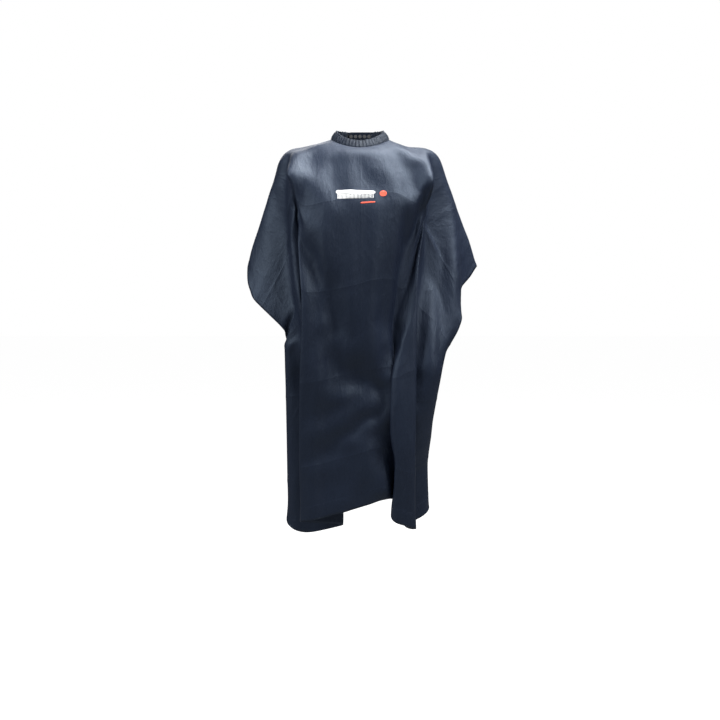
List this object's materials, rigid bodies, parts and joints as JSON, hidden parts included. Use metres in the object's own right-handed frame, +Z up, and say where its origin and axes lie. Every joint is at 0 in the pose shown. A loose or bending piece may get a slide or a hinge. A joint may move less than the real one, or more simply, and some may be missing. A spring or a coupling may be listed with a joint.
{
  "type": "barber cape",
  "caption": "Loose coated-nylon cape that covers the front, shoulders and arms, gathered into an elastic neckband that closes at the nape with a press-stud tab.",
  "frame": {"origin": "centre of the neck opening, half way up the neckband", "axes": "+Z up as the cape hangs on the wearer, -Y towards the front, +X to the wearer's left"},
  "size_m": [0.6229, 0.3244, 1.0925],
  "materials": {
    "cape_nylon": "satin coated nylon, fine plain weave",
    "band_nylon": "satin coated nylon, gathered",
    "elastic_knit": "matte ribbed elastic",
    "nickel": "plated, slightly worn",
    "white_print": "matte screen print",
    "coral_print": "matte screen print",
    "label_satin": "satin ribbon, blank"
  },
  "bodies": {
    "root": {"cape_sheet": "cape_nylon", "neckband": "band_nylon", "neck_elastic": "elastic_knit", "under_tab": "band_nylon", "socket_1": "nickel", "socket_2": "nickel", "socket_3": "nickel", "socket_4": "nickel", "socket_5": "nickel", "socket_post_1": "nickel", "socket_post_2": "nickel", "socket_post_3": "nickel", "socket_post_4": "nickel", "socket_post_5": "nickel", "print_comb": "white_print", "print_bar": "coral_print", "print_disc": "coral_print", "care_label": "label_satin"},
    "closure_tab": {"closure_tab": "band_nylon", "stud_1": "nickel", "stud_2": "nickel", "stud_cap_1": "nickel", "stud_cap_2": "nickel"}
  },
  "joints": [
    {"name": "tab_peel", "type": "hinge", "parent": "root", "child": "closure_tab", "pos_m": [-0.03385, 0.06114, 0.021], "axis": [0, 0, 1], "range_deg": [0, 75]}
  ]
}
